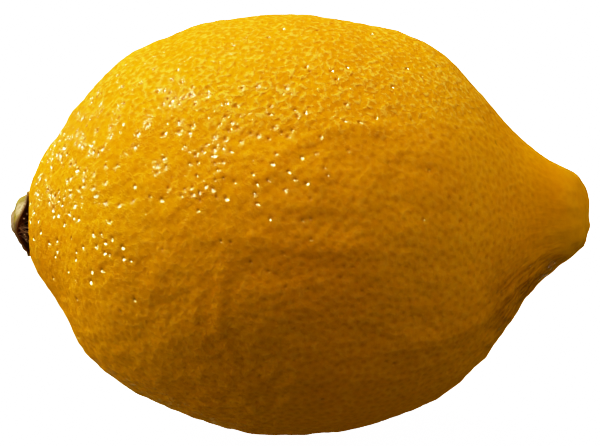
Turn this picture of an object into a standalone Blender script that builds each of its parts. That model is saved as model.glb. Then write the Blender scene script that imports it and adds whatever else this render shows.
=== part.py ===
"""Lemon, lying on its side, with its dried button (calyx and stem stub) still on.

Units are metres in Blender, and the driving dimensions below are in millimetres.
Frame: +Z up, the fruit's long axis along X, the button at -X and the nipple at +X.
The origin is the centre of the bounding box's base, on the surface the lemon rests on.

Two bodies, each closed:
  fruit         the whole fruit, one solid, with a shallow seat at its stem end
                and a small flat spot pressed into the peel where it rests
  calyx_button  the woody five-lobed calyx with the stub of the fruit's stalk
"""

import math

import bmesh
import bpy
import numpy as np
from mathutils import Matrix, Vector, noise

MM = 0.001

# ---------------------------------------------------------------- driving sizes, mm
GIRTH = 63.9          # largest diameter, measured upright
GIRTH_ACROSS = 65.0   # largest diameter, measured level: a lemon lies on its flatter side
NIPPLE_TIP_X = 43.8   # right-hand end of the fruit
BUTTON_TIP_X = -43.8  # left-hand end of the button
SPOT_DEPTH = 0.30     # how far the peel is flattened where it rests
NIPPLE_RISE = 1.40    # the nipple turns up a little from the fruit's axis
STEM_RISE = 0.45      # the stem end sits a little high too

SEAT_R = 4.95         # the seat that holds the button
SEAT_DEPTH = 1.10
SEAT_X = -41.25       # the fruit's face at the stem end
GAP = 0.30            # clearance between the button and its seat

BUTTON_R = 4.55       # mean radius of the calyx disc
LOBE_H = 0.28         # how far its five lobes stand out of that
STUB_R = 1.75         # stub of the stalk, in the middle of the disc

SEGMENTS = 56         # round the fruit
RINGS = 50            # from end to end

# The fruit's half profile, as distance along the axis and radius. It starts in the
# middle of the stem end, comes round the collar, over the belly, down the concave
# neck and round the blunt nipple.
PROFILE = [
    (-41.25, 0.0), (-41.30, 2.4), (-41.15, 4.4), (-40.50, 6.4), (-39.40, 8.7),
    (-38.00, 10.9), (-36.20, 13.3), (-33.30, 17.8), (-30.20, 21.6),
    (-26.50, 24.8), (-21.20, 27.7), (-15.10, 29.95), (-8.50, 31.35), (-1.00, 31.95),
    (6.10, 31.35), (12.20, 29.95), (18.30, 27.6), (24.30, 23.65), (29.00, 18.65),
    (32.30, 14.15), (35.30, 10.5), (38.20, 8.1), (40.70, 6.75), (42.35, 5.25),
    (43.30, 3.6), (43.72, 1.8), (43.80, 0.0),
]

# Broad swellings and hollows of the peel: place along the axis, angle round it from
# the top towards the front in degrees, radius and height.
SWELLINGS = [
    (-35.5, -6.0, 5.0, 0.30), (-25.0, -8.0, 3.2, 0.32), (-20.0, 4.0, 3.5, -0.28),
    (-13.5, -4.0, 4.0, 0.24), (-5.0, 6.0, 5.0, -0.24), (5.0, -6.0, 4.5, -0.26),
    (19.5, -2.0, 5.0, 0.46), (27.5, -8.0, 4.0, -0.22), (32.5, 0.0, 3.5, -0.24),
    (-39.8, -8.0, 2.4, 0.40), (-38.4, 172.0, 3.0, -0.30), (-32.2, 176.0, 3.2, 0.40), (-22.0, 170.0, 4.5, -0.26),
    (-7.0, 168.0, 3.5, 0.20), (16.0, 172.0, 3.5, -0.22), (26.5, 176.0, 4.2, -0.36),
    (37.4, 174.0, 2.6, 0.16),
    (-28.0, 55.0, 5.5, 0.30), (-16.0, 95.0, 6.0, -0.26), (2.0, 70.0, 6.5, 0.24),
    (14.0, 105.0, 6.0, -0.24), (24.0, 60.0, 5.0, 0.26), (-2.0, 135.0, 6.0, 0.22),
    (-24.0, -70.0, 6.0, 0.30), (-6.0, -100.0, 6.5, -0.28), (10.0, -60.0, 6.0, 0.26),
    (22.0, -120.0, 5.5, 0.28), (-14.0, -140.0, 6.0, -0.24),
]
RIPPLE_H = 0.16       # smaller undulations of the whole surface
RIPPLE_LENGTH = 12.0

PEEL_COLOUR = (0.80, 0.40, 0.006, 1.0)
BUTTON_COLOUR = (0.20, 0.15, 0.055, 1.0)


# ---------------------------------------------------------------- small mathematics
def smoothstep(a, b, v):
    u = min(max((v - a) / (b - a), 0.0), 1.0)
    return u * u * (3.0 - 2.0 * u)


class Spline:
    """A natural cubic spline through values at given distances."""

    def __init__(self, at, values):
        n = len(at)
        h = [at[i + 1] - at[i] for i in range(n - 1)]
        m = np.zeros((n, n))
        rhs = np.zeros(n)
        m[0, 0] = m[-1, -1] = 1.0
        for i in range(1, n - 1):
            m[i, i - 1] = h[i - 1]
            m[i, i] = 2.0 * (h[i - 1] + h[i])
            m[i, i + 1] = h[i]
            rhs[i] = 6.0 * (
                (values[i + 1] - values[i]) / h[i]
                - (values[i] - values[i - 1]) / h[i - 1]
            )
        self.at, self.v, self.m = at, values, np.linalg.solve(m, rhs)

    def __call__(self, s):
        i = 0
        while i < len(self.at) - 2 and s > self.at[i + 1]:
            i += 1
        h = self.at[i + 1] - self.at[i]
        a = (self.at[i + 1] - s) / h
        b = 1.0 - a
        return (
            a * self.v[i]
            + b * self.v[i + 1]
            + ((a**3 - a) * self.m[i] + (b**3 - b) * self.m[i + 1]) * h * h / 6.0
        )


def chord_lengths(points):
    at = [0.0]
    for p, q in zip(points, points[1:]):
        at.append(at[-1] + math.hypot(q[0] - p[0], q[1] - p[1]))
    return at


AT = chord_lengths(PROFILE)
PROFILE_X = Spline(AT, [p[0] for p in PROFILE])
PROFILE_R = Spline(AT, [p[1] for p in PROFILE])
PROFILE_LENGTH = AT[-1]


def axis_rise(x):
    """Height of the fruit's middle line above its axis."""
    return (
        -0.18 * math.tanh(x / 8.0)
        - 0.35 * math.exp(-(((x - 27.5) / 5.0) ** 2))
        + (NIPPLE_RISE + 0.25) * smoothstep(27.0, 41.0, x)
        + (STEM_RISE - 0.18) * smoothstep(-31.0, -38.0, x)
    )


AXIS_Z = GIRTH / 2.0 - SPOT_DEPTH


def skin_point(s, angle):
    """A point on the even skin: distance along the profile, angle from the top."""
    x, r = PROFILE_X(s), max(PROFILE_R(s), 0.0)
    across = 1.0 + (GIRTH_ACROSS / GIRTH - 1.0) * smoothstep(4.0, 26.0, r)
    return Vector(
        (
            x,
            -r * across * math.sin(angle),
            AXIS_Z + axis_rise(x) + r * math.cos(angle),
        )
    )


def profile_distance(x):
    """The distance along the profile at which it passes x, for x off the end faces."""
    low, high = AT[2], AT[-3]
    for _ in range(50):
        middle = (low + high) / 2.0
        if PROFILE_X(middle) < x:
            low = middle
        else:
            high = middle
    return (low + high) / 2.0


SWELLING_CENTRES = [
    (skin_point(profile_distance(x), math.radians(a)), w, h) for x, a, w, h in SWELLINGS
]


def swell(p):
    """Height of the broad unevenness at a point of the even skin."""
    total = 0.0
    for centre, width, height in SWELLING_CENTRES:
        d2 = (p - centre).length_squared / (width * width)
        if d2 < 12.0:
            total += height * math.exp(-d2 / 2.0)
    ends = smoothstep(-41.0, -36.0, p.x) * smoothstep(43.6, 39.0, p.x)
    wave = noise.noise(p / RIPPLE_LENGTH + Vector((3.1, 7.7, 1.9)))
    wave += 0.5 * noise.noise(p / (0.55 * RIPPLE_LENGTH) + Vector((9.2, 0.4, 5.5)))
    return (total + RIPPLE_H * 1.6 * wave) * ends


def fruit_point(s, angle):
    p = skin_point(s, angle)
    along = skin_point(min(s + 0.4, PROFILE_LENGTH), angle) - skin_point(
        max(s - 0.4, 0.0), angle
    )
    out = Vector((0.0, -math.sin(angle), math.cos(angle)))
    normal = out - along * (out.dot(along) / max(along.length_squared, 1e-9))
    if normal.length > 1e-6 and PROFILE_R(s) > 0.4:
        p = p + normal.normalized() * swell(p)
    return p


def ring_spacing(s):
    """Distance between rings: closer at the collar and round the nipple."""
    return 1.4 + 1.6 * smoothstep(4.0, 16.0, s) - 1.8 * smoothstep(
        PROFILE_LENGTH - 24.0, PROFILE_LENGTH - 9.0, s
    )


def ring_places(count):
    """Distances along the profile for rings 0..count, both poles included."""
    steps = 2000
    sums = [0.0]
    for k in range(steps):
        s = PROFILE_LENGTH * (k + 0.5) / steps
        sums.append(sums[-1] + PROFILE_LENGTH / steps / ring_spacing(s))
    places, k = [], 0
    for j in range(count + 1):
        want = sums[-1] * j / count
        while k < steps - 1 and sums[k + 1] < want:
            k += 1
        f = (want - sums[k]) / (sums[k + 1] - sums[k])
        places.append(PROFILE_LENGTH * (k + min(max(f, 0.0), 1.0)) / steps)
    return places


# ---------------------------------------------------------------- Blender helpers
def clear_scene():
    for ob in list(bpy.data.objects):
        bpy.data.objects.remove(ob, do_unlink=True)
    for block in (bpy.data.meshes, bpy.data.materials):
        for item in list(block):
            if item.users == 0:
                block.remove(item)
    for coll in list(bpy.context.scene.collection.children):
        bpy.context.scene.collection.children.unlink(coll)


def make_collection(name):
    coll = bpy.data.collections.new(name)
    bpy.context.scene.collection.children.link(coll)
    return coll


def make_material(name, colour, roughness):
    mat = bpy.data.materials.new(name)
    mat.use_nodes = True
    shader = mat.node_tree.nodes["Principled BSDF"]
    shader.inputs["Base Color"].default_value = colour
    shader.inputs["Roughness"].default_value = roughness
    shader.inputs["Metallic"].default_value = 0.0
    mat.diffuse_color = colour
    return mat


def make_object(name, bm, coll, mat=None):
    mesh = bpy.data.meshes.new(name)
    bm.to_mesh(mesh)
    bm.free()
    if mat is not None:
        mesh.materials.append(mat)
        mesh.shade_smooth()
        mesh.set_sharp_from_angle(angle=math.radians(50.0))
    ob = bpy.data.objects.new(name, mesh)
    coll.objects.link(ob)
    return ob


def cut(ob, cutter):
    mod = ob.modifiers.new("cut_" + cutter.name, "BOOLEAN")
    mod.operation = "DIFFERENCE"
    mod.solver = "EXACT"
    mod.object = cutter


def as_cutter(ob):
    ob.hide_render = True
    ob.display_type = "WIRE"


def sphere_along_x(segments, rings):
    """A UV sphere whose poles lie on the X axis, as a bmesh."""
    bm = bmesh.new()
    bmesh.ops.create_uvsphere(
        bm,
        u_segments=segments,
        v_segments=rings,
        radius=1.0,
        matrix=Matrix(((0, 0, 1, 0), (1, 0, 0, 0), (0, 1, 0, 0), (0, 0, 0, 1))),
    )
    return bm


# ---------------------------------------------------------------- the fruit
def build_fruit(coll, cutters):
    bm = sphere_along_x(SEGMENTS, RINGS)
    places = ring_places(RINGS)
    for v in bm.verts:
        polar = math.acos(max(-1.0, min(1.0, -v.co.x)))
        ring = int(round(polar / math.pi * RINGS))
        angle = math.atan2(-v.co.y, v.co.z)
        v.co = fruit_point(places[ring], angle) * MM
    fruit = make_object("fruit", bm, coll, make_material("peel", PEEL_COLOUR, 0.34))

    # the seat for the button: a shallow round dish
    bm = sphere_along_x(40, 20)
    for v in bm.verts:
        rim = math.hypot(v.co.y, v.co.z)
        deep = SEAT_DEPTH if v.co.x > 0.0 else 3.0
        fill = 1.0 if rim < 1e-9 else SEAT_R * rim**0.45 / (SEAT_R * rim)
        v.co = Vector(
            (
                SEAT_X + deep * v.co.x,
                SEAT_R * v.co.y * fill,
                AXIS_Z + axis_rise(SEAT_X) + SEAT_R * v.co.z * fill,
            )
        ) * MM
    seat = make_object("seat_cutter", bm, cutters)
    as_cutter(seat)
    cut(fruit, seat)

    # the resting spot: everything below the surface it lies on is pressed flat
    bm = bmesh.new()
    bmesh.ops.create_cube(
        bm,
        size=1.0,
        matrix=Matrix.Translation((0.0, 0.0, -0.010))
        @ Matrix.Diagonal((0.120, 0.100, 0.020, 1.0)),
    )
    spot = make_object("spot_cutter", bm, cutters)
    as_cutter(spot)
    cut(fruit, spot)
    return fruit


# ---------------------------------------------------------------- the button
def button_face(rim, angle):
    """Outward height of the calyx above the fruit's face; rim runs 0 to 1."""
    r = rim * BUTTON_R
    stub = (1.0 - smoothstep(STUB_R - 0.45, STUB_R + 0.55, r)) * 1.05
    groove = -0.35 * math.exp(-(((r - STUB_R - 0.75) / 0.45) ** 2))
    lobes = 0.30 * math.cos(5.0 * (angle - 0.35)) * smoothstep(1.6, 3.6, r)
    edge = 1.45 * math.sqrt(max(1.0 - rim**4.0, 0.0))
    return edge + (stub + groove + lobes) * smoothstep(1.0, 0.86, rim)


def build_button(coll):
    segments, rings = 40, 18
    bm = sphere_along_x(segments, rings)
    centre_z = AXIS_Z + axis_rise(SEAT_X)
    tip = SEAT_X - button_face(0.0, 0.0)
    stretch = (BUTTON_TIP_X - SEAT_X) / (tip - SEAT_X)
    inside = SEAT_DEPTH - GAP
    for v in bm.verts:
        around = math.hypot(v.co.y, v.co.z)
        angle = math.atan2(-v.co.y, v.co.z)
        outward = v.co.x < 0.0
        rim = around**0.8 if around > 1e-9 else 0.0
        lobe = 1.0 + LOBE_H / BUTTON_R * math.cos(5.0 * (angle - 0.35)) * smoothstep(
            0.4, 1.0, rim
        )
        if outward:
            x = SEAT_X - stretch * button_face(rim, angle)
            r = BUTTON_R * rim * lobe
        else:
            # the buried face follows the dish of the seat at an even clearance
            x = SEAT_X + inside * math.sqrt(max(1.0 - rim**4.4, 0.0))
            r = BUTTON_R * rim * (1.0 + (lobe - 1.0) * smoothstep(0.8, 1.0, rim))
        v.co = Vector(
            (x, -r * math.sin(angle), centre_z + r * math.cos(angle))
        ) * MM
    return make_object(
        "calyx_button", bm, coll, make_material("calyx", BUTTON_COLOUR, 0.75)
    )


def main():
    clear_scene()
    lemon = make_collection("Lemon")
    cutters = make_collection("Lemon_cutters")
    build_fruit(lemon, cutters)
    build_button(lemon)


main()
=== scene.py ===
"""The lemon's looks: pored peel, dried button, floor, lights and camera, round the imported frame.

Lengths in the shape functions are millimetres; MM turns them into the frame's metres.
"""

import math

import bmesh
import bpy
import numpy as np
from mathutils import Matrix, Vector, noise
from mathutils.kdtree import KDTree


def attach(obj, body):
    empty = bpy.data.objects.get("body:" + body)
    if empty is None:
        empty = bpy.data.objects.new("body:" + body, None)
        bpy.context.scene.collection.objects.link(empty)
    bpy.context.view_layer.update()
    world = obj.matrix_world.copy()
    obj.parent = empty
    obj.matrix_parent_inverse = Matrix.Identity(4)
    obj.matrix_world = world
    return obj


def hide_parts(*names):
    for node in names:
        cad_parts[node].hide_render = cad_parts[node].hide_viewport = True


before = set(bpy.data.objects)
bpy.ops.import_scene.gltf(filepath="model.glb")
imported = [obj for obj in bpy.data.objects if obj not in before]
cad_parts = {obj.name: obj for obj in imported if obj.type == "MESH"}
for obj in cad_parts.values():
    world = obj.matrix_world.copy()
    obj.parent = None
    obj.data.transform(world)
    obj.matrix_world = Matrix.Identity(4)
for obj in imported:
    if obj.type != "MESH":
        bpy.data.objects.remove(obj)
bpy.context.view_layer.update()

MM = 0.001
SEED = 20

# ================================================================ the even skin, as in the CAD
GIRTH = 63.9
GIRTH_ACROSS = 65.0
SPOT_DEPTH = 0.30
NIPPLE_RISE = 1.40
STEM_RISE = 0.45
SEAT_R = 4.95
SEAT_DEPTH = 1.10
SEAT_X = -41.25
AXIS_Z = GIRTH / 2.0 - SPOT_DEPTH
PROFILE = np.array([
    (-41.25, 0.0), (-41.30, 2.4), (-41.15, 4.4), (-40.50, 6.4), (-39.40, 8.7),
    (-38.00, 10.9), (-36.20, 13.3), (-33.30, 17.8), (-30.20, 21.6),
    (-26.50, 24.8), (-21.20, 27.7), (-15.10, 29.95), (-8.50, 31.35), (-1.00, 31.95),
    (6.10, 31.35), (12.20, 29.95), (18.30, 27.6), (24.30, 23.65), (29.00, 18.65),
    (32.30, 14.15), (35.30, 10.5), (38.20, 8.1), (40.70, 6.75), (42.35, 5.25),
    (43.30, 3.6), (43.72, 1.8), (43.80, 0.0),
])
SWELLINGS = [
    (-35.5, -6.0, 5.0, 0.30), (-25.0, -8.0, 3.2, 0.32), (-20.0, 4.0, 3.5, -0.28),
    (-13.5, -4.0, 4.0, 0.24), (-5.0, 6.0, 5.0, -0.24), (5.0, -6.0, 4.5, -0.26),
    (19.5, -2.0, 5.0, 0.46), (27.5, -8.0, 4.0, -0.22), (32.5, 0.0, 3.5, -0.24),
    (-39.8, -8.0, 2.4, 0.40), (-38.4, 172.0, 3.0, -0.30), (-32.2, 176.0, 3.2, 0.40),
    (-22.0, 170.0, 4.5, -0.26),
    (-7.0, 168.0, 3.5, 0.20), (16.0, 172.0, 3.5, -0.22), (26.5, 176.0, 4.2, -0.36),
    (37.4, 174.0, 2.6, 0.16),
    (-28.0, 55.0, 5.5, 0.30), (-16.0, 95.0, 6.0, -0.26), (2.0, 70.0, 6.5, 0.24),
    (14.0, 105.0, 6.0, -0.24), (24.0, 60.0, 5.0, 0.26), (-2.0, 135.0, 6.0, 0.22),
    (-24.0, -70.0, 6.0, 0.30), (-6.0, -100.0, 6.5, -0.28), (10.0, -60.0, 6.0, 0.26),
    (22.0, -120.0, 5.5, 0.28), (-14.0, -140.0, 6.0, -0.24),
]
BUMPS = [
    (1.8, -8.0, 1.8, 0.24), (34.6, -8.0, 3.0, 0.26), (-34.3, -6.0, 1.1, 0.24), (-32.4, -6.0, 1.0, -0.14),
    (-38.7, -6.0, 1.1, 0.18), (21.0, 172.0, 2.2, 0.32), (30.6, 174.0, 1.2, 0.18), (-23.7, 172.0, 1.6, 0.24),
    (42.2, -8.0, 1.6, 0.30), (43.2, -4.0, 1.4, 0.20), (43.0, 176.0, 1.3, 0.34), (38.2, 174.0, 1.2, 0.14),
]
# low folds of the peel: a run of (x, angle) places, half-width and height in mm
FOLDS = [
    ([(10.4, 54.0), (5.0, 56.0), (0.8, 60.0), (-2.5, 64.0), (-5.5, 70.0)], 1.15, 0.20),
    ([(-12.4, 70.0), (-15.9, 75.0), (-19.4, 80.0)], 0.75, 0.15),
    ([(-9.8, 86.0), (-4.3, 87.0), (2.9, 87.0), (10.4, 88.0)], 1.25, 0.17),
    ([(-7.9, 95.0), (-1.4, 95.5), (6.4, 94.0)], 1.10, -0.15),
    ([(-11.0, 95.0), (-11.6, 103.0), (-11.8, 114.0)], 0.85, 0.21),
    ([(12.3, 43.0), (12.9, 44.0)], 1.10, 0.17),
    ([(11.7, 119.0), (19.0, 121.0), (25.9, 122.0), (30.9, 123.0)], 1.25, 0.21),
    ([(-35.0, 31.0), (-33.2, 23.0), (-29.9, 19.0)], 0.55, 0.11),
    ([(-33.4, 50.0), (-30.7, 40.0), (-26.9, 33.0)], 0.60, 0.12),
    ([(-36.8, 41.0), (-35.8, 22.0), (-32.7, 15.0)], 0.50, 0.09),
    ([(-8.9, 49.0), (-8.4, 49.0)], 0.80, -0.11),
    ([(-28.6, 64.0), (-28.2, 64.5)], 0.80, -0.10),
    ([(-30.2, 73.0), (-29.8, 73.5)], 0.70, -0.08),
]
RIPPLE_H = 0.16
RIPPLE_LENGTH = 12.0


def smooth(a, b, v):
    u = np.clip((np.asarray(v, float) - a) / (b - a), 0.0, 1.0)
    return u * u * (3.0 - 2.0 * u)


def natural_spline(at, values):
    """Second derivatives of the natural cubic spline through values at distances."""
    n, h = len(at), np.diff(at)
    m, rhs = np.zeros((n, n)), np.zeros(n)
    m[0, 0] = m[-1, -1] = 1.0
    for i in range(1, n - 1):
        m[i, i - 1], m[i, i], m[i, i + 1] = h[i - 1], 2.0 * (h[i - 1] + h[i]), h[i]
        rhs[i] = 6.0 * (
            (values[i + 1] - values[i]) / h[i] - (values[i] - values[i - 1]) / h[i - 1]
        )
    return np.linalg.solve(m, rhs)


def spline(at, values, second, s):
    i = np.clip(np.searchsorted(at, s) - 1, 0, len(at) - 2)
    h = at[i + 1] - at[i]
    a = (at[i + 1] - s) / h
    b = 1.0 - a
    return (
        a * values[i]
        + b * values[i + 1]
        + ((a**3 - a) * second[i] + (b**3 - b) * second[i + 1]) * h * h / 6.0
    )


AT = np.concatenate(([0.0], np.cumsum(np.hypot(*np.diff(PROFILE, axis=0).T))))
X2, R2 = natural_spline(AT, PROFILE[:, 0]), natural_spline(AT, PROFILE[:, 1])
LENGTH = AT[-1]


def profile_x(s):
    return spline(AT, PROFILE[:, 0], X2, s)


def profile_r(s):
    return np.maximum(spline(AT, PROFILE[:, 1], R2, s), 0.0)


def axis_rise(x):
    return (
        -0.18 * np.tanh(x / 8.0)
        - 0.35 * np.exp(-(((x - 27.5) / 5.0) ** 2))
        + (NIPPLE_RISE + 0.25) * smooth(27.0, 41.0, x)
        + (STEM_RISE - 0.18) * smooth(31.0, 38.0, -x)
    )


def skin(s, angle):
    """Points on the even skin: distance along the profile, angle from the top to the front."""
    x, r = profile_x(s), profile_r(s)
    across = 1.0 + (GIRTH_ACROSS / GIRTH - 1.0) * smooth(4.0, 26.0, r)
    return np.stack(
        (x, -r * across * np.sin(angle), AXIS_Z + axis_rise(x) + r * np.cos(angle)), -1
    )


def skin_normals(s, angle):
    along = skin(np.minimum(s + 0.2, LENGTH), angle) - skin(np.maximum(s - 0.2, 0.0), angle)
    out = np.stack((0.0 * s, -np.sin(angle), np.cos(angle)), -1)
    n = out - along * ((out * along).sum(-1) / (along * along).sum(-1))[..., None]
    flat = profile_r(s) < 0.4
    n[flat] = np.stack((np.sign(s[flat] - LENGTH / 2), 0 * s[flat], 0 * s[flat]), -1)
    return n / np.linalg.norm(n, axis=-1, keepdims=True)


def noise_at(points, length, offset):
    """Smooth noise, about -1 to 1, of the given feature length."""
    f = 1.0 / length
    ox, oy, oz = offset
    return np.array([noise.noise((x * f + ox, y * f + oy, z * f + oz)) for x, y, z in points.tolist()])


def swell(p):
    """The broad unevenness that the CAD fruit has too."""
    xs = np.linspace(AT[2], AT[-3], 3000)
    centres = []
    for x, a, w, h in SWELLINGS:
        s = np.interp(x, profile_x(xs), xs)
        centres.append((skin(np.array([s]), np.array([math.radians(a)]))[0], w, h))
    total = np.zeros(len(p))
    for c, w, h in centres:
        total += h * np.exp(-((p - c) ** 2).sum(-1) / (2.0 * w * w))
    ends = smooth(-41.0, -36.0, p[:, 0]) * smooth(-43.6, -39.0, -p[:, 0])
    wave = noise_at(p, RIPPLE_LENGTH, (3.1, 7.7, 1.9))
    wave += 0.5 * noise_at(p, 0.55 * RIPPLE_LENGTH, (9.2, 0.4, 5.5))
    total = (total + RIPPLE_H * 1.6 * wave) * ends
    for x, a, w, h in BUMPS:
        s = np.interp(x, profile_x(xs), xs)
        c = skin(np.array([s]), np.array([math.radians(a)]))[0]
        total += h * np.exp(-((p - c) ** 2).sum(-1) / (2.0 * w * w))
    for run, w, h in FOLDS:
        t = np.linspace(0.0, len(run) - 1.0, 12 * len(run))
        x = np.interp(t, np.arange(len(run)), [q[0] for q in run])
        a = np.interp(t, np.arange(len(run)), [q[1] for q in run])
        line = skin(np.interp(x, profile_x(xs), xs), np.radians(a))
        near = np.min([((p - c) ** 2).sum(-1) for c in line], axis=0)
        total += h * np.exp(-near / (2.0 * w * w))
    return total


# ================================================================ an even net of triangles
def geodesic(n):
    """Unit sphere of 20 n^2 near-equal triangles: directions and faces."""
    bm = bmesh.new()
    bmesh.ops.create_icosphere(bm, subdivisions=1, radius=1.0)
    bm.verts.ensure_lookup_table()
    corners = np.array([v.co for v in bm.verts])
    tris = [[v.index for v in f.verts] for f in bm.faces]
    bm.free()
    turn = np.array([[0.36, 0.48, -0.8], [-0.8, 0.6, 0.0], [0.48, 0.64, 0.6]])
    corners = corners @ turn.T
    points, faces, known = [], [], {}
    for tri in tris:
        a, b, c = corners[tri[0]], corners[tri[1]], corners[tri[2]]
        ids = {}
        for i in range(n + 1):
            for j in range(n + 1 - i):
                k = n - i - j
                key = tuple(sorted((t, w) for t, w in zip(tri, (k, i, j)) if w))
                if key not in known:
                    known[key] = len(points)
                    points.append((a * k + b * i + c * j) / n)
                ids[i, j] = known[key]
        for i in range(n):
            for j in range(n - i):
                faces.append((ids[i, j], ids[i + 1, j], ids[i, j + 1]))
                if i + j < n - 1:
                    faces.append((ids[i + 1, j], ids[i + 1, j + 1], ids[i, j + 1]))
    p = np.array(points)
    # put the points on the unit sphere
    p /= np.linalg.norm(p, axis=1, keepdims=True)
    return p, np.array(faces)


def lay_on_skin(directions):
    """Equal-area map from the unit sphere to the profile: s and angle of each direction."""
    s = np.linspace(0.0, LENGTH, 6001)
    x, r = profile_x(s), profile_r(s)
    ds = np.hypot(np.gradient(x, s), np.gradient(r, s))
    area = np.concatenate(([0.0], np.cumsum((r[1:] * ds[1:] + r[:-1] * ds[:-1]) / 2.0)))
    area /= area[-1]
    share = (1.0 + directions[:, 0]) / 2.0
    return np.interp(share, area, s), np.arctan2(-directions[:, 1], directions[:, 2])


def neighbours(count, faces):
    """Each vertex's neighbours, as a padded array (-1 where there are fewer)."""
    e = np.concatenate((faces[:, [0, 1]], faces[:, [1, 2]], faces[:, [2, 0]]))
    e = np.unique(np.sort(e, axis=1), axis=0)
    both = np.concatenate((e, e[:, ::-1]))
    both = both[np.argsort(both[:, 0], kind="stable")]
    start = np.searchsorted(both[:, 0], np.arange(count))
    place = np.arange(len(both)) - start[both[:, 0]]
    out = np.full((count, 7), -1)
    out[both[:, 0], place] = both[:, 1]
    return out


# ================================================================ peel
PORE_GAP = 1.10        # least distance between two oil glands
PORE_RING = 0.27       # the net is drawn in to this distance round each pit
FREQUENCY = 99         # 20 x 99^2 = 196,020 triangles


def finer(x):
    """0 on the belly, 1 where the skin is smoother: the nipple, and the very stem end."""
    return np.clip(smooth(27.0, 40.0, x) + 0.45 * smooth(37.5, 41.5, -x), 0.0, 1.0)


def pick_pores(points, x, rng):
    """Dart throwing on the net's vertices: indices of the pore centres."""
    tree = KDTree(len(points))
    for i, p in enumerate(points):
        tree.insert(p, i)
    tree.balance()
    patch = noise_at(points[::1], 9.0, (2.2, 4.1, 7.3))
    gap = PORE_GAP * (1.0 + 0.14 * patch) * (1.0 - 0.12 * finer(x))
    taken = np.zeros(len(points), bool)
    taken[(x < SEAT_X + 0.35) & (np.hypot(points[:, 1], points[:, 2] - AXIS_Z - STEM_RISE) < 5.6)] = True
    taken[x > 43.45] = True
    chosen = []
    for i in rng.permutation(len(points)).tolist():
        if taken[i]:
            continue
        chosen.append(i)
        for _, j, _ in tree.find_range(points[i], gap[i]):
            taken[j] = True
    return np.array(chosen)


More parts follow.
